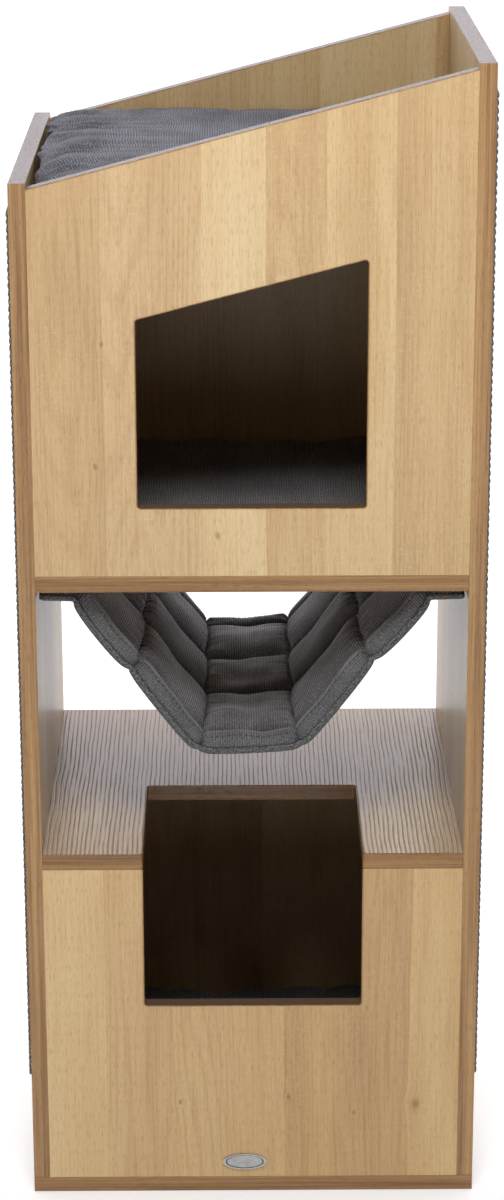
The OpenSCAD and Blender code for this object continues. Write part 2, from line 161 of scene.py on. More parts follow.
class Finish:
    """A material in the making: a Principled shader and the nodes that feed it."""

    def __init__(self, name, fixed):
        """fixed gives the shader's sockets that have the same value all over."""
        self.material = bpy.data.materials.new(name)
        self.material.use_nodes = True
        self.tree = self.material.node_tree
        self.shader = self.tree.nodes["Principled BSDF"]
        for socket, value in fixed.items():
            self.shader.inputs[socket].default_value = value

    def feed(self, socket, value):
        if isinstance(value, Amount):
            self.tree.links.new(value.socket, socket)
        else:
            socket.default_value = value

    def node(self, kind, settings, inputs, out=0):
        """Adds a node: first its settings, a ramp's stops among them, then its sockets' values or links."""
        made = self.tree.nodes.new("ShaderNode" + kind)
        for setting, value in settings.items():
            if setting == "stops":
                steps = made.color_ramp.elements
                while len(steps) < len(value):
                    steps.new(1.0)
                for step, (place, colour) in zip(steps, value):
                    step.position = place
                    step.color = colour
            else:
                setattr(made, setting, value)
        for socket, value in inputs.items():
            self.feed(made.inputs[socket], value)
        return Amount(self, made.outputs[out])

    def maths(self, operation, first, second=0.0):
        return self.node("Math", {"operation": operation}, {0: first, 1: second})

    def axes(self):
        """The three object coordinates, in metres."""
        place = self.node("TexCoord", {}, {}, out="Object")
        return {axis: self.node("SeparateXYZ", {}, {0: place}, out=axis) for axis in "XYZ"}

    def noise(self, x, y, z=0.0, detail=2.0):
        """Noise of about 0.2 to 0.8 with features one unit across."""
        at = self.node("CombineXYZ", {}, {0: x, 1: y, 2: z})
        return self.node("TexNoise", {}, {"Vector": at, "Scale": 1.0, "Detail": detail}, out=0)

    def rise(self, value, low, high):
        """0 below low, 1 above high, and smooth between them."""
        settings = {"interpolation_type": "SMOOTHSTEP"}
        return self.node("MapRange", settings, {"Value": value, "From Min": low, "From Max": high})

    def mix(self, share, under, over, kind="MIX"):
        """Colour over laid on colour under, by a share."""
        settings = {"data_type": "RGBA", "blend_type": kind}
        return self.node("Mix", settings, {0: share, 6: under, 7: over}, out=2)

    def finish(self, colour, roughness=None, height=None):
        """Joins the colour, the roughness and a relief in metres to the shader."""
        self.feed(self.shader.inputs["Base Color"], colour)
        if roughness is not None:
            self.feed(self.shader.inputs["Roughness"], roughness)
        if height is not None:
            relief = self.node("Bump", {}, {"Strength": 1.0, "Distance": 1.0, "Height": height})
            self.feed(self.shader.inputs["Normal"], relief)
        return self.material


def tint(red, green, blue):
    """A screen colour of 0 to 255 as a linear colour with full alpha."""
    screen = np.array([red, green, blue]) / 255
    return (*np.where(screen < 0.04045, screen / 12.92, ((screen + 0.055) / 1.055) ** 2.4), 1.0)


def toned(painted_shade, warmth):
    """The colour to multiply a print by: painted_shade darkens it as painted shade, for copies of a finish on
    parts that stand in shade, and warmth takes blue and some green out of it.
    """
    return (painted_shade, painted_shade * (1 - 0.4 * warmth), painted_shade * (1 - warmth), 1.0)


ripple_pitch = 4.3 * mm


def oak(name, across, along, seed, knots=(), ripple=0.0, painted_shade=1.0, warmth=0.0, gloss=0.27):
    """Oak-look laminate with its grain along one axis. Strips of random width have a tone each. Growth
    lines are the contours of a noise stretched along the grain, pores are a finer, longer one cut off high,
    and a knot is an oval stain (across, along, radius) that the grain bends round. ripple adds the dark,
    wavy lines of flat-sawn wood, a ripple pitch apart."""
    f = Finish(name, {"Specular IOR Level": 0.5})
    axis = f.axes()
    x = axis[across]
    z = axis[along]
    stain = 0.0
    push = 0.0
    for knot_x, knot_z, radius in knots:
        dx = (x - knot_x) / radius
        dz = (z - knot_z) / (1.5 * radius)
        near = f.maths("EXPONENT", (dx * dx + dz * dz) * -1.0)
        wide = f.maths("EXPONENT", (dx * dx + dz * dz) * -0.2)
        stain = near + stain
        push = wide * dx * (0.8 * radius) + push
    bend = f.noise(x * 4.0, z * 1.3, seed, detail=1.0) - 0.5
    u = x + bend * 0.02 - push
    strips = {"W": u + seed * 1.37, "Scale": 16.0, "Randomness": 0.9}
    cells = f.node("TexVoronoi", {"voronoi_dimensions": "1D"}, strips, out="Color")
    strip_tone = f.node("SeparateColor", {}, {0: cells}, out=0)
    strip_shift = f.node("SeparateColor", {}, {0: cells}, out=1)
    drift = f.noise(u * 26.0 + strip_shift * 5.0, z * 3.0 + seed, seed, detail=3.0)
    tone = strip_tone * 0.5 + drift * 0.9 - 0.2
    base = f.node("ValToRGB", {"stops": [(0.0, tint(180, 144, 98)), (0.38, tint(206, 171, 119)),
                                         (0.62, tint(221, 190, 139)), (1.0, tint(231, 206, 160))]}, {0: tone})
    base = f.mix(f.rise(strip_shift, 0.2, 1.0) * 0.5, base, tint(206, 170, 126))
    contour = f.noise(u * 9.0 + strip_shift * 9.0, z * 0.75 + strip_shift * 13.0, seed, detail=1.5)
    ring = f.rise(f.maths("SINE", contour * 260.0), 0.0, 1.0) * f.rise(strip_shift, 0.3, 0.6)
    streak = f.noise(u * 520.0, z * 11.0 + strip_shift * 30.0, seed, detail=3.0)
    pore = f.rise(f.noise(u * 1400.0, z * 105.0 + strip_shift * 70.0, seed, detail=2.0), 0.52, 0.68)
    ray = f.rise(f.noise(u * 240.0 + z * 60.0, z * 420.0, seed, detail=3.0), 0.54, 0.70)
    flecked = f.rise(f.noise(u * 18.0, z * 7.0, seed + 5.0, detail=2.0), 0.42, 0.58)
    colour = f.mix(ring * 0.20, base, tint(172, 130, 84))
    colour = f.mix(f.rise(streak, 0.36, 0.66) * 0.14, colour, tint(240, 220, 182))
    colour = f.mix(f.rise(streak, 0.50, 0.34) * 0.12, colour, tint(160, 118, 74))
    colour = f.mix(pore * 0.30, colour, tint(150, 108, 66))
    colour = f.mix(ray * flecked * 0.20, colour, tint(240, 216, 172))
    roughness = streak * 0.10 + pore * 0.12 + gloss
    height = streak * 0.00003 - pore * 0.00005
    if ripple:
        wave = f.noise(x * 26.0, z * 11.0, seed + 3.0, detail=2.0)
        break_up = f.noise(x * 260.0, z * 16.0, seed + 6.0, detail=3.0)
        phase = (x + wave * 0.005 + break_up * 0.0013) * (2 * math.pi / ripple_pitch)
        furrow = f.rise(f.maths("SINE", phase), 0.15, 1.0) * f.rise(break_up, 0.20, 0.55)
        colour = f.mix(furrow * ripple, colour, tint(92, 66, 50))
        roughness = furrow * (0.9 * ripple) + roughness
        height = height - furrow * (0.0006 * ripple)
    if knots:
        colour = f.mix(f.rise(stain, 0.1, 1.0) * 0.55, colour, tint(128, 86, 50))
    # Painted shade: the whole print is darkened by painted_shade for a board that stands in shade
    colour = f.mix(1.0, colour, toned(painted_shade, warmth), "MULTIPLY")
    return f.finish(colour, roughness, height)


def coat(material, *names):
    """Gives CAD nodes one material in all their slots."""
    for name in names:
        slots = nodes[name].data.materials
        slots.clear()
        slots.append(material)


upper_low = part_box("upper_front_panel")[0]
lower_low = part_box("lower_front_panel")[0]
sill_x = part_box("lower_door_edging")[1].x
coat(oak("oak_upper_front", "X", "Z", 2.0,
         knots=[(-0.136, upper_low.z + 0.100, 0.0022), (-0.129, upper_low.z + 0.209, 0.0016),
                (-0.030, upper_low.z + 0.037, 0.0028)]), "upper_front_panel")
coat(oak("oak_lower_front", "X", "Z", 7.0,
         knots=[(0.033, lower_low.z + 0.083, 0.0022), (sill_x + 0.050, lower_low.z + 0.075, 0.0042),
                (-0.068, lower_low.z + 0.078, 0.0022), (0.094, lower_low.z + 0.066, 0.0018)],
         painted_shade=0.98, warmth=0.13), "lower_front_panel")
# Painted shade: the back panels, the side panels and the shelf are darker copies of the same laminate, for
# the shade they stand in inside the bays and caves
coat(oak("oak_upper_back", "X", "Z", 12.0, painted_shade=0.75), "upper_back_panel")
coat(oak("oak_lower_back", "X", "Z", 17.0, painted_shade=0.9), "lower_back_panel")
coat(oak("oak_left_side", "Y", "Z", 22.0, painted_shade=0.72), "left_side_panel")
coat(oak("oak_right_side", "Y", "Z", 27.0, painted_shade=0.72), "right_side_panel")
coat(oak("oak_shelf", "X", "Y", 32.0, ripple=0.36, painted_shade=0.66, gloss=0.15), "middle_shelf")
coat(oak("oak_floor", "X", "Y", 37.0, ripple=0.2), "upper_floor", "bed_platform")
coat(oak("oak_base", "X", "Y", 42.0), "base_panel")

# ---- The edge banding -------------------------------------------------------------------------
# Strips of a darker, walnut-brown printed foil, a millimetre thick, ironed on to every edge that shows.
# The grain runs along each strip.


def walnut(name, along, top_along, seed, painted_shade=1.0, warmth=0.0):
    """Walnut-look banding. Its streaks run along one axis, or along another on faces that look up, which are
    painted darker and greyer as painted shade.
    """
    f = Finish(name, {"Specular IOR Level": 0.5})
    axis = f.axes()
    normal = f.node("NewGeometry", {}, {}, out="Normal")
    upward = f.rise(f.node("SeparateXYZ", {}, {0: normal}, out="Z"), 0.4, 0.6)
    side = [axis[a] for a in "XYZ" if a != along]
    top = [axis[a] for a in "XYZ" if a != top_along]
    s = axis[along] * (1 - upward) + axis[top_along] * upward
    p = side[0] * (1 - upward) + top[0] * upward
    q = side[1] * (1 - upward) + top[1] * upward
    band = f.noise(p * 150.0, q * 150.0, s * 2.2 + seed, detail=2.0)
    streak = f.noise(p * 620.0, q * 620.0, s * 9.0 + seed, detail=3.0)
    pore = f.rise(f.noise(p * 1500.0, q * 1500.0, s * 110.0 + seed, detail=2.0), 0.54, 0.68)
    colour = f.node("ValToRGB", {"stops": [(0.26, tint(140, 98, 56)), (0.48, tint(170, 127, 78)),
                                           (0.70, tint(194, 152, 98))]}, {0: band})
    colour = f.mix(f.rise(streak, 0.42, 0.68) * 0.35, colour, tint(184, 150, 110))
    colour = f.mix(f.rise(streak, 0.52, 0.30) * 0.35, colour, tint(96, 68, 44))
    colour = f.mix(pore * 0.42, colour, tint(92, 64, 40))
    # Painted shade: faces that look up are darkened and greyed, so their glare reads over little colour
    colour = f.mix(upward * 0.85, colour, tint(78, 66, 58))
    # Painted shade: the whole band is darkened by painted_shade for bands that stand in shade
    colour = f.mix(1.0, colour, toned(painted_shade, warmth), "MULTIPLY")
    roughness = 0.20 + upward * 0.12 + streak * 0.12 + pore * 0.3
    return f.finish(colour, roughness, streak * 0.00004 - pore * 0.00006)


coat(walnut("walnut_upright", "Z", "Y", 3.0, painted_shade=0.97), "left_side_edging", "right_side_edging")
# Painted shade: the level bands on the base, the shelf and the upper floor are a darker copy of the banding,
# for the shade on these edges
coat(walnut("walnut_level", "X", "X", 5.0, painted_shade=0.8, warmth=0.14),
     "base_edging", "middle_shelf_edging", "upper_floor_edging")
coat(walnut("walnut_slope", "X", "X", 8.0), "upper_front_edging", "upper_back_edging")
coat(walnut("walnut_reveal", "Z", "X", 11.0), "upper_door_edging", "lower_door_edging")

# ---- The fittings -----------------------------------------------------------------------------
# Knock-down furniture fittings: steel bolts and screws with a bright zinc plating, die-cast cams with a
# cross slot, and fluted-look beech dowels.


def metal(name, colour, roughness, grain, relief):
    """Metal with a fine cloudy grain, one patch per 1 / grain metres."""
    f = Finish(name, {"Metallic": 1.0})
    axis = f.axes()
    patch = f.noise(axis["X"] * grain, axis["Y"] * grain, axis["Z"] * grain, detail=4.0)
    worn = f.mix(f.rise(patch, 0.35, 0.7) * 0.4, colour, tint(236, 236, 234))
    return f.finish(worn, roughness + patch * 0.16, patch * relief)


coat(metal("zinc_plate", tint(196, 198, 202), 0.2, 700.0, 0.00001), "cam_bolts", "base_screws")
coat(metal("cast_zinc", tint(160, 162, 166), 0.38, 1400.0, 0.00006), "cam_locks")


def beech(name):
    f = Finish(name, {})
    axis = f.axes()
    grain = f.noise(axis["X"] * 500.0, axis["Y"] * 500.0, axis["Z"] * 500.0, detail=3.0)
    colour = f.mix(f.rise(grain, 0.35, 0.65), tint(196, 156, 112), tint(226, 194, 152))
    return f.finish(colour, 0.6 + grain * 0.1, grain * 0.00005)


coat(beech("beech"), "wooden_dowels")

# ---- The badge --------------------------------------------------------------------------------
# A plain oval plate of brushed metal with a raised rim, glued to the front near the floor.


def brushed(name, low, high):
    """Metal brushed along X, darker in the oval field that the rim encloses and darkest in the corner
    beside it."""
    f = Finish(name, {"Metallic": 1.0})
    axis = f.axes()
    dx = (axis["X"] - (low.x + high.x) / 2) / ((high.x - low.x) / 2)
    dz = (axis["Z"] - (low.z + high.z) / 2) / ((high.z - low.z) / 2)
    out = (dx * dx + dz * dz) ** 0.5
    scratch = f.noise(axis["X"] * 260.0, axis["Y"] * 900.0, axis["Z"] * 3600.0, detail=3.0)
    cloud = f.noise(axis["X"] * 90.0, axis["Y"] * 90.0, axis["Z"] * 130.0, detail=2.0)
    colour = f.mix(f.rise(scratch, 0.3, 0.7) * 0.6, tint(172, 174, 176), tint(236, 237, 238))
    colour = f.mix(f.rise(out, 0.90, 0.84) * 0.18, colour, tint(92, 92, 94))
    colour = f.mix(f.rise(out, 0.78, 0.83) * f.rise(out, 0.90, 0.85) * 0.8, colour, tint(36, 36, 38))
    colour = f.mix(f.rise(cloud, 0.45, 0.7) * 0.25, colour, tint(120, 121, 123))
    return f.finish(colour, 0.24 + scratch * 0.22, scratch * 0.00002)


coat(brushed("brushed_metal", *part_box("badge")), "badge")

# ---- The boards' arrises ----------------------------------------------------------------------
# No board has knife-sharp edges: the banding is scraped off at 45 degrees. Each board and band that shows
# is stood for by a copy with its edges rounded by a fraction of a millimetre, so joints read as fine lines.


def eased(name, body, width=0.7 * mm):
    """A copy of a CAD node with its points merged and its edges rounded."""
    mesh = nodes[name].data.copy()
    whole = bmesh.new()
    whole.from_mesh(mesh)
    bmesh.ops.remove_doubles(whole, verts=whole.verts, dist=1e-6)
    whole.to_mesh(mesh)
    whole.free()
    piece = bpy.data.objects.new(name + "_eased", mesh)
    scene.collection.objects.link(piece)
    arris = piece.modifiers.new("arris", "BEVEL")
    arris.width = width
    arris.segments = 2
    arris.limit_method = "ANGLE"
    arris.angle_limit = math.radians(40)
    arris.use_clamp_overlap = True
    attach(piece, body)
    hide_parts(name)


for board in ("base_panel", "left_side_panel", "right_side_panel", "lower_front_panel",
              "lower_back_panel", "middle_shelf", "upper_floor", "upper_front_panel", "upper_back_panel",
              "bed_platform"):
    eased(board, "tower")
for band in ("base_edging", "left_side_edging", "right_side_edging", "lower_door_edging",
             "middle_shelf_edging", "upper_floor_edging", "upper_front_edging", "upper_door_edging",
             "upper_back_edging"):
    eased(band, "tower", 0.45 * mm)

# ---- The scratching mats ----------------------------------------------------------------------
# Thick cords of twisted paper yarn lie side by side, front to back, on the outer face of each side panel.
# They are woven on to a thin backing, which is glued to the board.


def add_piece(name, points, faces, material, body, cloth=None):
    """A smooth-shaded mesh of points and faces. cloth is the flat place of each point in metres, kept as a
    UV map."""
    mesh = bpy.data.meshes.new(name)
    mesh.from_pydata(points.tolist(), [], faces.tolist() if hasattr(faces, "tolist") else faces)
    mesh.polygons.foreach_set("use_smooth", np.ones(len(mesh.polygons), bool))
    if cloth is not None:
        corner = np.empty(len(mesh.loops), np.int32)
        mesh.loops.foreach_get("vertex_index", corner)
        mesh.uv_layers.new(name="cloth").data.foreach_set("uv", cloth[corner].astype(np.float32).ravel())
    mesh.materials.append(material)
    piece = bpy.data.objects.new(name, mesh)
    scene.collection.objects.link(piece)
    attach(piece, body)
    return piece


def grid_faces(rows, columns, close_columns=False):
    """The quads of a grid of rows x columns points, counted row by row; close_columns joins the last column
    to the first."""
    a = np.arange(rows - 1)[:, None] * columns
    b = np.arange(columns if close_columns else columns - 1)[None, :]
    c = (b + 1) % columns
    return np.stack([a + b, a + c, a + columns + c, a + columns + b], axis=-1).reshape(-1, 4)


strand_pitch = 3.4 * mm


def twisted_cord(name):
    """Paper yarn, twisted: slanting strands along each cord, flecked brown and grey."""
    f = Finish(name, {"Specular IOR Level": 0.25, "Sheen Weight": 0.15, "Sheen Roughness": 0.5})
    axis = f.axes()
    y = axis["Y"]
    z = axis["Z"]
    wobble = f.noise(y * 60.0, z * 60.0, 4.0, detail=2.0)
    strand = f.maths("SINE", (y + z * 0.75 + wobble * 0.002) * (2 * math.pi / strand_pitch))
    fibre = f.noise(y * 500.0 + z * 400.0, z * 900.0 - y * 500.0, 1.0, detail=3.0)
    fleck = f.noise(y * 70.0, z * 150.0, 9.0, detail=3.0)
    colour = f.node("ValToRGB", {"stops": [(0.3, tint(84, 78, 71)), (0.48, tint(124, 116, 106)),
                                           (0.68, tint(168, 158, 144))]}, {0: fleck * 0.6 + fibre * 0.4})
    colour = f.mix(f.rise(strand, 0.0, -1.0) * 0.55, colour, tint(52, 47, 42))
    return f.finish(colour, 0.85, f.rise(strand, -1.0, 0.8) * 0.0005 + fibre * 0.0002)


cord_material = twisted_cord("twisted_cord")
cord_pitch = 6.9 * mm
cord_sides = 10
cord_rings = 44


def cord_mat(name, side):
    """Cords are ellipses swept along Y, one every pitch up the panel. Each has closed, rounded ends, and its
    place and thickness wander a little along its length."""
    low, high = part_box(name)
    face = min(abs(low.x), abs(high.x))
    proud = abs(high.x - low.x)
    count = int((high.z - low.z) / cord_pitch)
    pitch = (high.z - low.z) / count
    dice = np.random.default_rng(11 if side < 0 else 12)
    ring = np.arange(cord_rings)
    turn = np.arange(cord_sides) * 2 * np.pi / cord_sides
    length = np.linspace(low.y, high.y, cord_rings)
    # The end rings close on a small radius, so the cord ends look cut and pressed down
    swell = np.ones(cord_rings)
    swell[[0, -1]] = 0.02
    swell[[1, -2]] = 0.82
    length[1] = low.y + 0.6 * mm
    length[-2] = high.y - 0.6 * mm
    wander = np.cumsum(dice.normal(0, 0.16, (count, cord_rings)), axis=1)
    wander -= wander.mean(axis=1, keepdims=True)
    thick = swell * (1 + dice.normal(0, 0.035, (count, cord_rings)))
    half_x = 0.5 * (proud + 0.5 * mm)
    middle_x = side * (face + half_x - 0.1 * mm)
    middle_z = low.z + (np.arange(count) + 0.5) * pitch
    x = middle_x + side * half_x * thick[:, :, None] * np.sin(turn)
    half_z = 0.53 * pitch * thick[:, :, None]
    z = middle_z[:, None, None] + wander[:, :, None] * 0.22 * mm + half_z * np.cos(turn)
    y = np.broadcast_to(length[None, :, None] + 0 * x[:1], x.shape)
    points = np.stack([x, y, z], axis=-1).reshape(-1, 3)
    one = grid_faces(cord_rings, cord_sides, close_columns=True)
    one = one if side > 0 else one[:, ::-1]
    faces = (one[None] + (np.arange(count) * cord_rings * cord_sides)[:, None, None]).reshape(-1, 4).tolist()
    first = np.arange(cord_sides)
    last = first + (cord_rings - 1) * cord_sides
    for start in np.arange(count) * cord_rings * cord_sides:
        caps = [(first + start)[::-1], last + start]
        faces += [cap.tolist() if side > 0 else cap[::-1].tolist() for cap in caps]
    piece = add_piece(name + "_cords", points, faces, cord_material, "tower")
    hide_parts(name)


cord_mat("left_scratch_mat", -1)
cord_mat("right_scratch_mat", 1)

# ---- The hook and loop tapes ------------------------------------------------------------------
# Black nylon tape, the hook half stuck under the upper floor and the loop half sewn to the hammock's flaps.


def nylon_pile(name):
    f = Finish(name, {"Sheen Weight": 0.3, "Sheen Roughness": 0.6})
    axis = f.axes()
    pile = f.noise(axis["X"] * 1500.0, axis["Y"] * 1500.0, axis["Z"] * 1500.0, detail=2.0)
    return f.finish(f.mix(f.rise(pile, 0.4, 0.7), tint(14, 14, 15), tint(44, 44, 47)), 0.9, pile * 0.0004)


coat(nylon_pile("nylon_pile"), "left_hook_tape", "right_hook_tape", "left_loop_tape", "right_loop_tape")

# ---- The cushions -----------------------------------------------------------------------------
# Two panels of grey corduroy sewn together round the edge and filled with fibre. The edge seam gathers,
# so folds run in from it. One lies on the bed platform and one in each cave.

wale_pitch = 2.2 * mm


def corduroy(name, light, dark, sheen, quilted=False):
    """Corduroy: soft cords of pile, one every wale pitch across the cloth's U, with dark grooves between
    them, bare ground cloth darkened further as painted shade. The pile lies in patches that look lighter or
    darker. Quilted cloth reads two numbers from its points: seam, near the quilting's stitched valleys, which
    is painted dark as painted shade, and edge, where it is turned over a roll and brushed up, and is darker
    and flecked light."""
    f = Finish(name, {"Specular IOR Level": 0.2, "Sheen Weight": sheen, "Sheen Roughness": 0.45,
                      "Roughness": 0.9})
    flat = f.node("UVMap", {"uv_map": "cloth"}, {})
    u = f.node("SeparateXYZ", {}, {0: flat}, out=0)
    v = f.node("SeparateXYZ", {}, {0: flat}, out=1)
    fuzz = f.noise(u * 1700.0, v * 1100.0, 2.0, detail=2.0)
    mottle = f.noise(u * 520.0, v * 300.0, 12.0, detail=2.0)
    lean = f.noise(u * 150.0, v * 60.0, 5.0, detail=3.0)
    wale = f.maths("SINE", (u + lean * 0.001) * (2 * math.pi / wale_pitch))
    crown = f.rise(wale, -0.95, 0.75)
    patch = f.noise(u * 26.0, v * 17.0, 8.0, detail=3.0)
    colour = f.mix(f.rise(patch, 0.3, 0.7), dark, light)
    # Grooves between the wales: bare ground cloth, darkened further as painted shade in the grooves
    colour = f.mix((1 - crown) * 0.78, colour, tint(22, 21, 24))
    colour = f.mix(f.rise(fuzz, 0.42, 0.72) * 0.34, colour, tint(150, 149, 155))
    colour = f.mix(f.rise(mottle, 0.50, 0.68) * 0.34, colour, tint(156, 156, 162))
    colour = f.mix(f.rise(mottle, 0.50, 0.34) * 0.34, colour, tint(52, 52, 56))
    if quilted:
        seam = f.node("Attribute", {"attribute_name": "seam"}, {}, out="Fac")
        edge = f.node("Attribute", {"attribute_name": "edge"}, {}, out="Fac")
        knop = f.rise(f.noise(u * 900.0, v * 700.0, 6.0, detail=1.0), 0.5, 0.62)
        colour = f.mix(edge * 0.5, colour, tint(72, 71, 72))
        colour = f.mix(edge * knop * 0.35, colour, tint(176, 176, 170))
        # Painted shade: the cloth darkens near the quilting's seams, where the valleys between the filled
        # channels fall in shade
        colour = f.mix(seam * 0.88, colour, tint(24, 23, 25))
    height = crown * 0.0007 + fuzz * 0.00035
    return f.finish(colour, None, height)


def closed_pair(nx, ny):
    """The faces of two grids of (nx + 1) x (ny + 1) points that share their border, as a pillow's panels do.
    Points of the first grid come first, then the second's inner points. Returns faces and the second grid's
    point numbers."""
    count = (nx + 1) * (ny + 1)
    top = np.arange(count).reshape(nx + 1, ny + 1)
    under = top.copy()
    under[1:-1, 1:-1] = count + np.arange((nx - 1) * (ny - 1)).reshape(nx - 1, ny - 1)
    quads = [np.stack([grid[:-1, :-1], grid[1:, :-1], grid[1:, 1:], grid[:-1, 1:]], axis=-1).reshape(-1, 4)
             for grid in (top, under)]
    return np.concatenate([quads[0], quads[1][:, ::-1]]), under


def puffed(piece, pressure, frames, reach):
    """Blows up a closed cloth with Blender's cloth solver and returns its points, each one's travel capped
    at reach."""
    cloth = piece.modifiers.new("puff", "CLOTH")
    cloth.settings.quality = 4
    cloth.settings.mass = 0.25
    cloth.settings.tension_stiffness = 12
    cloth.settings.compression_stiffness = 12
    cloth.settings.shear_stiffness = 4
    cloth.settings.bending_stiffness = 0.08
    cloth.settings.use_pressure = True
    cloth.settings.uniform_pressure_force = pressure
    cloth.settings.effector_weights.gravity = 0
    cloth.point_cache.frame_start = 1
    cloth.point_cache.frame_end = frames
    start = np.empty(len(piece.data.vertices) * 3)
    piece.data.vertices.foreach_get("co", start)
    for step in range(1, frames + 1):
        scene.frame_set(step)
    seen = piece.evaluated_get(bpy.context.evaluated_depsgraph_get()).to_mesh()
    end = np.empty_like(start)
    seen.vertices.foreach_get("co", end)
    piece.evaluated_get(bpy.context.evaluated_depsgraph_get()).to_mesh_clear()
    piece.modifiers.remove(cloth)
    scene.frame_set(1)
    travel = (end - start).reshape(-1, 3)
    far = np.linalg.norm(travel, axis=1, keepdims=True)
    return start.reshape(-1, 3) + travel * np.minimum(1, reach / np.maximum(far, 1e-9))


def pillow(node, body, material, crown, seam_front, seam_back, seed, fold_depth):
    """A two-panel pillow that fills its node's box: a flat pair of panels is blown up, then its upper half is
    raised to the box's top and its lower half is pressed flat on the board. crown under 1 makes the top
    fuller, the seam's share of the height goes from seam_front to seam_back, and fold_depth is how deep the
    folds at the seam are."""
    low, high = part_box(node)
    low = np.array(low)
    high = np.array(high)
    size = high - low
    nx = int(size[0] / (5 * mm))
    ny = int(size[1] / (5 * mm))
    faces, under = closed_pair(nx, ny)
    a, b = np.meshgrid(np.linspace(-1, 1, nx + 1), np.linspace(-1, 1, ny + 1), indexing="ij")
    flat_x = 0.535 * size[0] * a * np.sqrt(1 - 0.05 * b * b)
    flat_y = 0.535 * size[1] * b * np.sqrt(1 - 0.05 * a * a)
    dice = np.random.default_rng(seed)
    crease = dice.normal(0, 0.12 * mm, a.shape) * (abs(a) < 1) * (abs(b) < 1)
    lens_z = 9 * mm * (1 - a ** 6) * (1 - b ** 6) + crease
    points = np.zeros((under.max() + 1, 3))
    cloth = np.zeros((under.max() + 1, 2))
    for grid, side in ((np.arange(a.size).reshape(a.shape), 1), (under, -1)):
        points[grid] = np.stack([flat_x, flat_y, side * lens_z], axis=-1)
        cloth[grid] = np.stack([flat_x, flat_y], axis=-1)
    cloth[:, 0] += seed * 0.31
    piece = add_piece(node + "_cover", points, faces, material, body, cloth)
    shape = puffed(piece, 4.0, 24, 45 * mm)
    span = np.abs(shape).max(axis=0)
    shape = shape / span
    # The corners are pushed out until the seam's outline is a square with small rounds
    reach = np.hypot(shape[:, 0], shape[:, 1])
    bearing = np.arctan2(shape[:, 1], shape[:, 0])
    rim = np.unique(np.concatenate([under[0], under[-1], under[:, 0], under[:, -1]]))
    rim = rim[np.argsort(bearing[rim])]
    seam = np.interp(bearing, bearing[rim], reach[rim], period=2 * np.pi)
    square = (np.abs(np.cos(bearing)) ** 16 + np.abs(np.sin(bearing)) ** 16) ** (-1 / 16)
    inside = np.clip(reach / seam, 0, 1)
    shape[:, :2] *= (1 + (square / seam - 1) * inside ** 3)[:, None]
    level = shape[:, 2]
    seam_height = seam_front + (seam_back - seam_front) * np.clip(0.5 + 0.55 * shape[:, 1], 0, 1)
    raised = seam_height + (1 - seam_height) * np.clip(level, 0, 1) ** crown
    pressed = np.maximum(seam_height * (1 - 1.5 * np.clip(-level, 0, 1) ** 0.6), 0)
    place = np.empty_like(shape)
    place[:, :2] = (low + high)[:2] / 2 + shape[:, :2] * (size[:2] / 2 - 0.5 * mm)
    place[:, 2] = low[2] + np.where(level >= 0, raised, pressed) * size[2]
    # Folds run in from the gathered seam: narrow ridges with wide hollows between them, at random along it
    for side in (0, 1):
        for edge in (low[side], high[side]):
            inward = np.abs(place[:, side] - edge)
            along = place[:, 1 - side] + 0.10 * inward * dice.normal()
            wave = sum(np.cos(along * 2 * np.pi / (fold_pitch * mm) + dice.uniform(0, 6))
                       for fold_pitch in (61, 43, 31))
            ridge = np.exp(-1.1 * wave * wave) - 0.40
            run_in = np.clip(inward / (26 * mm), 0, 1) ** 1.8 * np.exp(-(inward / (60 * mm)) ** 1.4)
            depth_here = fold_depth * (1.0 if side == 0 else 0.3)
            to_corner = np.minimum(place[:, 1 - side] - low[1 - side], high[1 - side] - place[:, 1 - side])
            clear = np.clip(to_corner / (28 * mm), 0, 1)
            place[:, 2] += np.where(level > 0.02, depth_here * ridge * run_in * clear, 0)
    piece.data.vertices.foreach_set("co", place.ravel())
    piece.data.update()
    finer = piece.modifiers.new("finer", "SUBSURF")
    finer.levels = 1
    finer.render_levels = 1
    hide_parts(node)


bed_cloth = corduroy("corduroy_bed", tint(122, 122, 131), tint(76, 76, 84), 0.15)
cave_cloth = corduroy("corduroy_cave", tint(122, 120, 120), tint(97, 95, 96), 0.2)
pillow("bed_cushion", "bed_cushion", bed_cloth, 0.32, 0.3, 0.86, 3, 9 * mm)
pillow("upper_cave_cushion", "upper_cave_cushion", cave_cloth, 0.4, 0.35, 0.35, 4, 2 * mm)
pillow("lower_cave_cushion", "lower_cave_cushion", cave_cloth, 0.35, 0.35, 0.35, 5, 1 * mm)

# ---- The hammock ------------------------------------------------------------------------------
# A quilted pad: corduroy over fibre, sewn through to a woven underlay along four fold lines, where the sling
# bends, and along rows from side to side. A narrow roll runs along the front and back edges.

pad_low, pad_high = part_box("hammock_pad")
lay_low, lay_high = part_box("hammock_underlay")
pad_depth = pad_high.y - pad_low.y


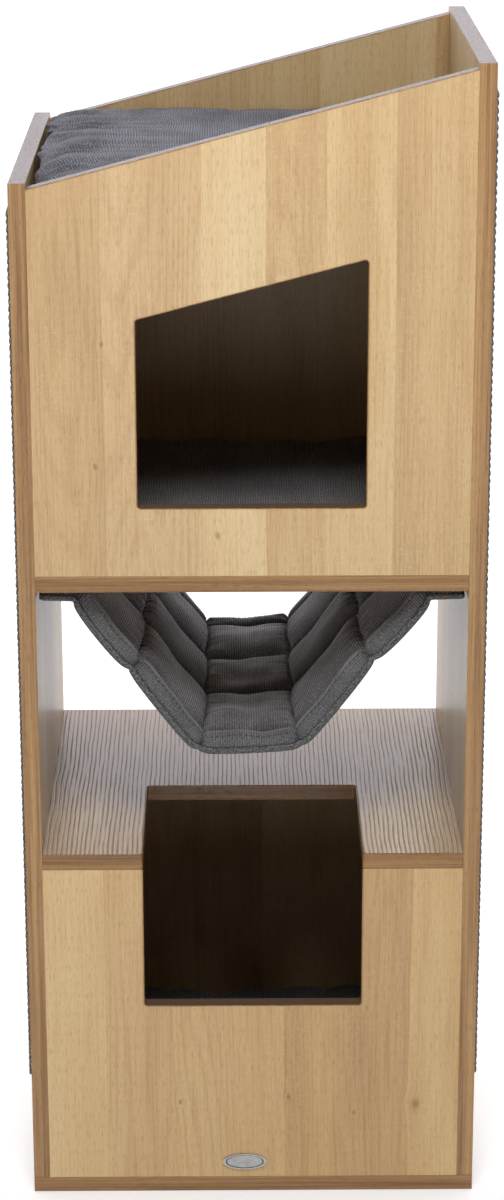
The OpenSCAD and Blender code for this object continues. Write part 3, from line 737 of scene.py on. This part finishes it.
def rounded_line(corners, radii, spacing):
    """A line through corners in X and Z, each rounded by its radius, as points at even spacing; with their
    distance along the line and the distances of the rounds' middles."""
    stretches = [[corners[0]]]
    for before, here, after, radius in zip(corners, corners[1:], corners[2:], radii):
        into = (here - before) / np.linalg.norm(here - before)
        out = (after - here) / np.linalg.norm(after - here)
        half = math.acos(np.clip(into @ out, -1, 1)) / 2
        cut = radius * math.tan(half)
        share = np.linspace(0, 1, 13)[:, None]
        # A quadratic curve through the corner's two cut points is close to an arc at these shallow bends
        start = here - into * cut
        end = here + out * cut
        stretches.append((1 - share) ** 2 * start + 2 * share * (1 - share) * here + share ** 2 * end)
    line = np.concatenate([*stretches, [corners[-1]]])
    along = np.concatenate([[0], np.cumsum(np.linalg.norm(np.diff(line, axis=0), axis=1))])
    bends = [along[1 + 13 * i + 6] for i in range(len(radii))]
    even = np.linspace(0, along[-1], int(along[-1] / spacing) + 1)
    return np.stack([np.interp(even, along, line[:, i]) for i in (0, 1)], axis=-1), even, bends


half_span = pad_high.x
flap = 32 * mm
sling_top = lay_high.z - 0.5 * mm
sling_low = lay_low.z + 1.2 * mm
fold_outer = half_span - flap
fold_low = 47 * mm
fold_mid_x = fold_outer - 0.44 * (fold_outer - fold_low)
fold_mid_z = sling_top - 0.45 * (sling_top - sling_low)
# The right fold sits a little higher than the left one, and the flat panel tilts with it
sling_corners = np.array([
    [-half_span, sling_top], [-fold_outer, sling_top - 1 * mm], [-fold_mid_x, fold_mid_z],
    [-fold_low - 2 * mm, sling_low + 1 * mm], [fold_low - 3 * mm, sling_low + 5 * mm],
    [fold_mid_x - 1 * mm, fold_mid_z + 8 * mm], [fold_outer, sling_top - 1 * mm], [half_span, sling_top]])
fold_radii = [10 * mm, 16 * mm, 22 * mm, 22 * mm, 16 * mm, 10 * mm]
sling, run, folds = rounded_line(sling_corners, fold_radii, 2.5 * mm)
ahead = np.gradient(sling, axis=0)
ahead /= np.linalg.norm(ahead, axis=1, keepdims=True)
inward = np.stack([-ahead[:, 1], ahead[:, 0]], axis=-1)

roll = 22 * mm
channel = (pad_depth - 2 * roll) / 3
rows = np.array([0, roll, roll + channel, roll + 2 * channel, roll + 3 * channel, pad_depth])
seams = np.concatenate([[0], folds, [run[-1]]])


def bulge(place, edges, sharp):
    """0 at each edge and 1 midway between edges, as 1 - |t| ** sharp to the half power; sharp sets how full
    it is. Also the number of each place's cell."""
    cell = np.clip(np.searchsorted(edges, place, side="right") - 1, 0, len(edges) - 2)
    t = 2 * (place - edges[cell]) / (edges[cell + 1] - edges[cell]) - 1
    return np.sqrt(np.clip(1 - np.abs(t) ** sharp, 0, 1)), cell


def seam_distance(place, edges):
    """The distance from each place to the nearest edge."""
    return np.abs(place[:, None] - edges[None, :]).min(axis=1)


depth_share = np.linspace(0, 1, 142)
# Points crowd towards the front and back edges, where the rolls turn over
depth = pad_depth * (depth_share - 0.066 * np.sin(2 * np.pi * depth_share))
depth = np.clip(depth, 0, pad_depth)
across_bulge, panel = bulge(run, seams, 9.0)
row_bulge, row = bulge(depth, rows, 2.3)
near_fold = seam_distance(run, np.array(folds))
near_row = seam_distance(depth, rows[1:-1])
dice = np.random.default_rng(21)
short_start = dice.uniform(0, 6, len(folds) + 1)[panel][:, None]
fold_wave = np.sin(depth[None, :] * 2 * np.pi / (9 * mm) + short_start)
long_start = dice.uniform(0, 6, len(folds) + 1)[panel][:, None]
fold_wave += 0.7 * np.sin(depth[None, :] * 2 * np.pi / (14 * mm) + long_start)
pucker = 2.0 * mm * fold_wave * np.exp(-near_fold / (9 * mm))[:, None] * row_bulge[None, :]


def soft_noise(s, d, size, seed):
    """A smooth random height of about -1 to 1 over the cloth: a sum of waves in random directions."""
    dice = np.random.default_rng(seed)
    total = np.zeros(np.broadcast(s, d).shape)
    for _ in range(9):
        angle = dice.uniform(0, 2 * np.pi)
        wave = 2 * np.pi / (size * dice.uniform(0.7, 1.6))
        total += np.sin(wave * (s * np.cos(angle) + d * np.sin(angle)) + dice.uniform(0, 2 * np.pi))
    return total / 4.5


s_grid = run[:, None]
d_grid = depth[None, :]
uneven = soft_noise(s_grid, d_grid, 48 * mm, 5)
wide_fill = np.where((row == 0) | (row == len(rows) - 2), 11.5, 15.5) * mm
flap_thin = np.where((panel == 0) | (panel == panel.max()), 0.45, 1.0)
fullness = wide_fill[None, :] * flap_thin[:, None]
stitched = 3.6 * mm * np.where((panel == 0) | (panel == panel.max()), 0.9, 1.0)[:, None]
# Each crest sags somewhere near the middle of its panel, where the filling has shifted
middle = (seams[:-1] + seams[1:]) / 2
sag_share = np.where(panel == 3, 0.22, 0.10)
slump = np.zeros((len(run), len(depth)))
for j in range(len(rows) - 1):
    centre = middle[panel] + dice.normal(0, 9 * mm, len(seams) - 1)[panel]
    dip = sag_share * np.exp(-((run - centre) / (13 * mm)) ** 2)
    slump += dip[:, None] * (row == j)[None, :]
lumpy = np.where(panel == 3, 0.13, 0.05)[:, None] * uneven
crown = across_bulge[:, None] * row_bulge[None, :] * (1 + lumpy - slump)
# At the front and back edges the skin comes down to the underlay
to_edge = np.minimum(depth, pad_depth - depth)
edge_fade = np.sqrt(np.clip(1 - (1 - np.clip(to_edge / (6 * mm), 0, 1)) ** 2, 0, 1))
seam_rise = stitched * edge_fade[None, :]
# Between its folds the pad bows outward, most along the free front and back edges
bow_depth = np.array([0, 5.0, 3.0, 2.5, 3.0, 5.0, 0]) * mm
free_edge = 0.4 + 0.6 * np.exp(-to_edge / (30 * mm))
bow = (bow_depth[panel] * bulge(run, seams, 2.2)[0])[:, None] * free_edge[None, :]
upper = seam_rise + fullness * crown + pucker * flap_thin[:, None] - bow
# The flaps are sewn flat against the undersides of their tapes
tape_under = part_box("left_loop_tape")[0].z + 0.2 * mm
flap_limit = np.where(np.abs(sling[:, 0]) > fold_outer - 2 * mm, tape_under - sling[:, 1], 1.0)
upper = np.minimum(upper, flap_limit[:, None])
lower = -2.4 * mm * across_bulge[:, None] * row_bulge[None, :] * flap_thin[:, None] - bow


def sling_points(height, place):
    """The points at a height over the sling's line and a place from its front edge, for every s and d."""
    x = sling[:, 0][:, None] + inward[:, 0][:, None] * height
    z = sling[:, 1][:, None] + inward[:, 1][:, None] * height
    return np.stack([x, pad_low.y + np.broadcast_to(place, height.shape), z], axis=-1)


def closed_skin(name, over, under, over_place, under_place, material, node):
    """A closed shell of an upper and a lower skin with the same count of points, joined round the border."""
    ns, nd = over.shape
    faces, second = closed_pair(ns - 1, nd - 1)
    faces = faces[:, ::-1]
    points = np.zeros((second.max() + 1, 3))
    cloth = np.zeros((second.max() + 1, 2))
    first = np.arange(ns * nd).reshape(ns, nd)
    for grid, height, place in ((second, under, under_place), (first, over, over_place)):
        skin = sling_points(height, place)
        points[grid] = skin
        step = np.linalg.norm(np.diff(skin, axis=1), axis=-1)
        arc = np.concatenate([np.zeros((ns, 1)), np.cumsum(step, axis=1)], axis=1)
        cloth[grid] = np.stack([np.broadcast_to(s_grid, height.shape), arc], axis=-1)
    piece = add_piece(name, points, faces, material, "hammock", cloth)
    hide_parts(node)
    return piece


hammock_cloth = corduroy("corduroy_hammock", tint(138, 136, 141), tint(100, 99, 105), 0.45, quilted=True)
pad = closed_skin("hammock_pad_cover", upper, lower + 0.6 * mm, depth, depth, hammock_cloth, "hammock_pad")
# Painted shade: nearness to the fold and row seams, kept as the seam attribute that darkens the cloth there
by_fold = np.exp(-near_fold / (3.5 * mm))
by_row = np.exp(-near_row / (4.0 * mm))
seam_shade = np.maximum(by_fold[:, None], by_row[None, :])
turned = np.clip(1 - to_edge / (13 * mm), 0, 1) ** 0.7
under_count = len(pad.data.vertices) - seam_shade.size
for word, values in (("seam", seam_shade), ("edge", np.broadcast_to(turned, seam_shade.shape))):
    numbers = np.concatenate([values.ravel(), np.zeros(under_count)]).astype(np.float32)
    pad.data.attributes.new(word, "FLOAT", "POINT").data.foreach_set("value", numbers)


yarn_pitch = 2.2 * mm


def plain_weave(name):
    """A coarse two-over-two weave of grey yarn, flecked light and dark."""
    f = Finish(name, {"Specular IOR Level": 0.2, "Sheen Weight": 0.2, "Sheen Roughness": 0.5,
                      "Roughness": 0.9})
    flat = f.node("UVMap", {"uv_map": "cloth"}, {})
    u = f.node("SeparateXYZ", {}, {0: flat}, out=0)
    v = f.node("SeparateXYZ", {}, {0: flat}, out=1)
    turns = 2 * math.pi / yarn_pitch
    weave = f.maths("SINE", (u + v) * turns) * f.maths("SINE", (u - v) * turns)
    fleck = f.noise(u * 500.0, v * 500.0, 3.0, detail=2.0)
    colour = f.mix(f.rise(fleck, 0.35, 0.7), tint(70, 69, 70), tint(148, 147, 146))
    colour = f.mix(f.rise(weave, 0.2, -0.8) * 0.5, colour, tint(34, 33, 32))
    return f.finish(colour, None, weave * 0.0003 + fleck * 0.0002)


# The underlay is turned up over the pad's front and back edges: its section is a wide U, of two lines a
# cloth's thickness apart, each given as places from the front edge and heights over the sling
lip = 4.0 * mm
turn = np.linspace(0, np.pi / 2, 7)


def lined_u(out, rise, radius):
    """Half a U's section from the tip of its front lip to the middle, at a distance out beyond the pad's
    edge."""
    corner_place = -out + radius * (1 - np.cos(turn))
    corner_height = radius * (1 - np.sin(turn)) - 0.8 * mm - out
    level = np.linspace(radius - out, pad_depth / 2, 60)[1:]
    place = np.concatenate([[-out], [-out], corner_place, level])
    height = np.concatenate([[rise], [rise * 0.5], corner_height, np.full(59, corner_height[-1])])
    return place, height


outer_place, outer_height = lined_u(1.1 * mm, lip, 3.0 * mm)
inner_place, inner_height = lined_u(0.2 * mm, lip - 0.2 * mm, 2.2 * mm)


def both_halves(half_place, half_height):
    """The whole U, by mirroring the half about the middle of the pad, with the panels' sag added."""
    place = np.concatenate([half_place, pad_depth - half_place[-2::-1]])
    height = np.concatenate([half_height, half_height[-2::-1]])
    sag = np.stack([np.interp(place, depth, line) for line in lower])
    return place, height[None, :] + sag


outer_place, outer_height = both_halves(outer_place, outer_height)
inner_place, inner_height = both_halves(inner_place, inner_height)
underlay = closed_skin("hammock_underlay_cloth", inner_height, outer_height, inner_place, outer_place,
                       plain_weave("plain_weave"), "hammock_underlay")

# A row of stitches through the pad and the turned-up underlay runs along the front and the back edge: short
# capsules of dark thread, their rings swept along the run at a fixed place from the edge


def thread_row(place):
    """The points of a row of stitches, each a tube of 5 rings of 6 points that narrows to its ends."""
    start = np.arange(flap + 3 * mm, run[-1] - flap - 3 * mm, 5.2 * mm)
    t = np.linspace(-1, 1, 5)
    s = start[:, None, None] + 1.8 * mm * t[None, :, None]
    radius = 0.45 * mm * np.sqrt(1 - (0.97 * t) ** 2)[None, :, None]
    spin = np.arange(6)[None, None, :] * np.pi / 3
    skin = np.array([np.interp(place, depth, line) for line in upper])
    out = np.interp(s, run, skin) + 0.15 * mm + radius * np.sin(spin)
    x = np.interp(s, run, sling[:, 0]) + np.interp(s, run, inward[:, 0]) * out
    z = np.interp(s, run, sling[:, 1]) + np.interp(s, run, inward[:, 1]) * out
    y = pad_low.y + place + radius * np.cos(spin) + 0 * s
    return np.stack([x, y, z], axis=-1).reshape(-1, 3)


thread_points = np.concatenate([thread_row(5.2 * mm), thread_row(pad_depth - 5.2 * mm)])
tube = grid_faces(5, 6, close_columns=True)
thread_faces = []
for first in range(0, len(thread_points), 30):
    thread_faces += (tube + first).tolist()
    thread_faces.append(list(range(first + 5, first - 1, -1)))
    thread_faces.append(list(range(first + 24, first + 30)))


def spun(name):
    """Dark polyester thread, its twist a fine slanting ripple."""
    f = Finish(name, {"Specular IOR Level": 0.3, "Roughness": 0.6})
    axis = f.axes()
    twist = f.maths("SINE", (axis["X"] + axis["Z"] + axis["Y"]) * (2 * math.pi / 0.0007))
    colour = f.mix(f.rise(twist, -1.0, 1.0), tint(34, 34, 36), tint(70, 70, 73))
    return f.finish(colour, None, twist * 0.00005)


add_piece("hammock_stitches", thread_points, thread_faces, spun("spun_thread"), "hammock")

# ---- The studio floor -------------------------------------------------------------------------
# A pale sweep that the tower stands on. It glows as painted light, with a painted shadow pool in front of the
# tower.

floor_half = 25.0
floor_mesh = bpy.data.meshes.new("floor")
floor_sides = (-floor_half, floor_half)
floor_mesh.from_pydata([(x, y, 0) for x in floor_sides for y in floor_sides], [], [(0, 2, 3, 1)])
floor = bpy.data.objects.new("floor", floor_mesh)
scene.collection.objects.link(floor)
pale = Finish("pale_floor", {"Specular IOR Level": 0.2, "Emission Strength": 0.5})
spot = pale.axes()
speck = pale.noise(spot["X"] * 3.0, spot["Y"] * 3.0, 0.0, detail=3.0)
# Painted light: the floor glows with its own emission, though it is no lamp, so it reads white and lights the
# tower from below, except in a dim pool in front of the tower, a painted shadow
ahead_of = (spot["X"] * spot["X"] + (spot["Y"] + 1.0) ** 2) * (-1 / 1.6 ** 2)
painted_glow = 1 - pale.maths("EXPONENT", ahead_of) * (1 - pale.rise(spot["Y"], -0.4, 0.15)) * 0.85
pale.feed(pale.shader.inputs["Emission Color"], pale.node("CombineColor", {}, {0: painted_glow, 1: painted_glow, 2: painted_glow}))
floor_mesh.materials.append(pale.finish(pale.mix(speck, (0.74, 0.74, 0.74, 1), (0.78, 0.78, 0.78, 1)), 0.7))
